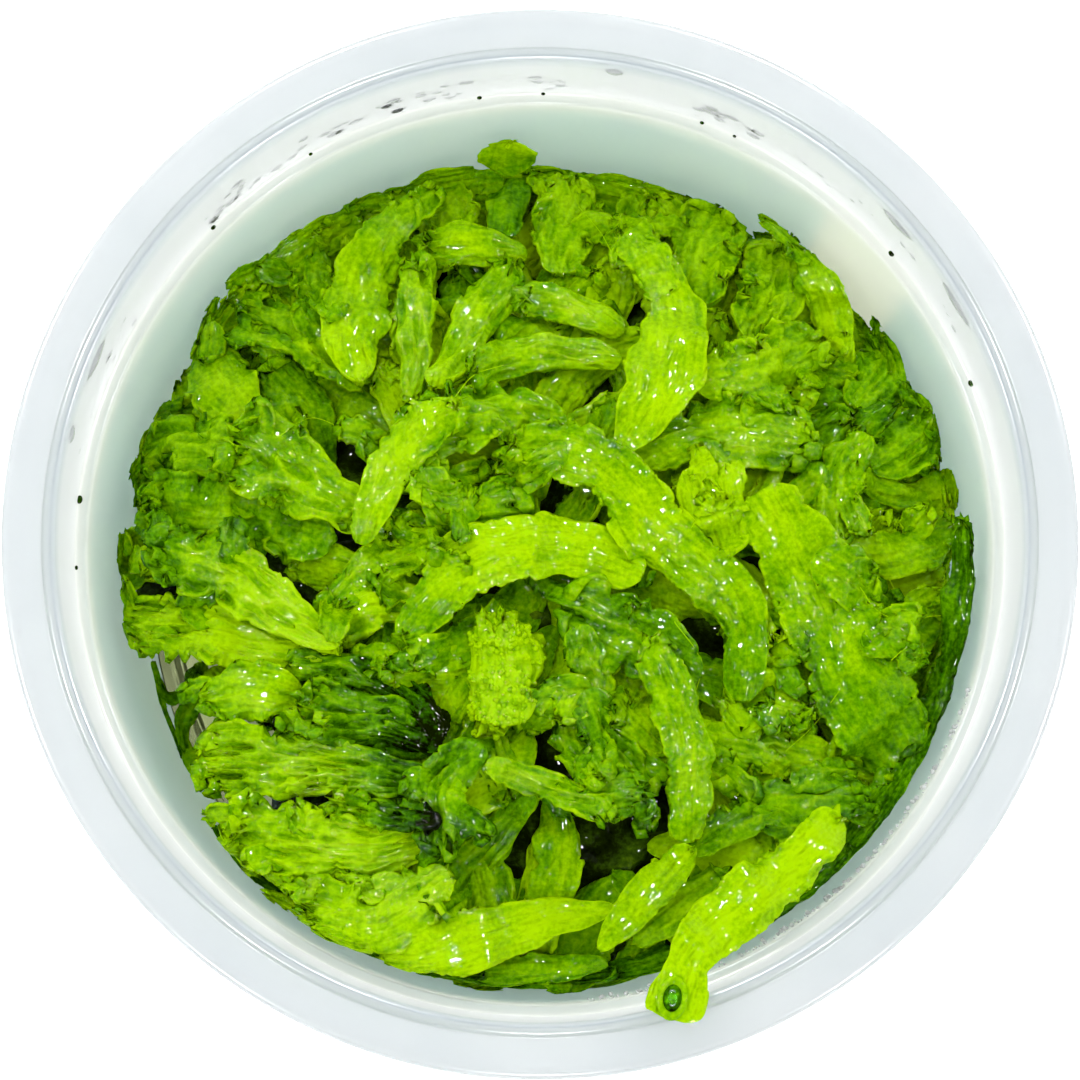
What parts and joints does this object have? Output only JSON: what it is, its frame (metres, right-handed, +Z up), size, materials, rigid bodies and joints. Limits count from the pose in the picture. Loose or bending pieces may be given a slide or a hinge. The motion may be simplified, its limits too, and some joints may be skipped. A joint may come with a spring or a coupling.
{
  "type": "tissue culture cup of pellia",
  "caption": "Round flanged plastic cup holding clear gel and a heaped tangle of fleshy green pellia fronds.",
  "frame": {"origin": "centre of the cup's foot ring, on the surface it stands on", "axes": "+Z up along the cup's axis; -Y is the side nearest the viewer, where the heap is highest"},
  "size_m": [0.1, 0.1, 0.0589],
  "materials": {
    "polypropylene": "milky see-through, smooth",
    "label_film": "satin film, bare",
    "gel": "clear, wet",
    "old_growth": "wet, dark green",
    "thallus": "wet, fleshy, lime to dark green"
  },
  "bodies": {
    "root": {"cup": "polypropylene", "label": "label_film", "gel": "gel", "mat": "old_growth", "frond_back_1": "thallus", "frond_back_2": "thallus", "frond_back_3": "thallus", "frond_back_4": "thallus", "frond_back_5": "thallus", "frond_back_6": "thallus", "frond_back_7": "thallus", "frond_left_1": "thallus", "frond_left_2": "thallus", "frond_left_3": "thallus", "frond_left_4": "thallus", "frond_left_5": "thallus", "frond_left_6": "thallus", "frond_left_7": "thallus", "frond_left_8": "thallus", "frond_front_left_1": "thallus", "frond_front_left_2": "thallus", "frond_front_left_3": "thallus", "frond_front_left_4": "thallus", "frond_front_left_5": "thallus", "frond_right_1": "thallus", "frond_right_2": "thallus", "frond_right_3": "thallus", "frond_right_4": "thallus", "frond_right_5": "thallus", "frond_right_6": "thallus", "frond_right_7": "thallus", "frond_right_8": "thallus", "frond_right_9": "thallus", "frond_right_10": "thallus", "frond_centre_1": "thallus", "frond_centre_2": "thallus", "frond_centre_3": "thallus", "frond_centre_4": "thallus", "frond_centre_5": "thallus", "frond_centre_6": "thallus", "frond_centre_7": "thallus", "frond_centre_8": "thallus", "frond_centre_9": "thallus", "frond_centre_10": "thallus", "frond_centre_11": "thallus", "frond_front_1": "thallus", "frond_front_2": "thallus", "frond_front_3": "thallus", "frond_front_4": "thallus", "frond_front_5": "thallus", "frond_front_6": "thallus", "frond_centre_12": "thallus", "frond_centre_13": "thallus", "frond_centre_14": "thallus", "frond_centre_15": "thallus", "frond_front_7": "thallus", "frond_front_8": "thallus", "frond_front_9": "thallus"}
  },
  "joints": []
}
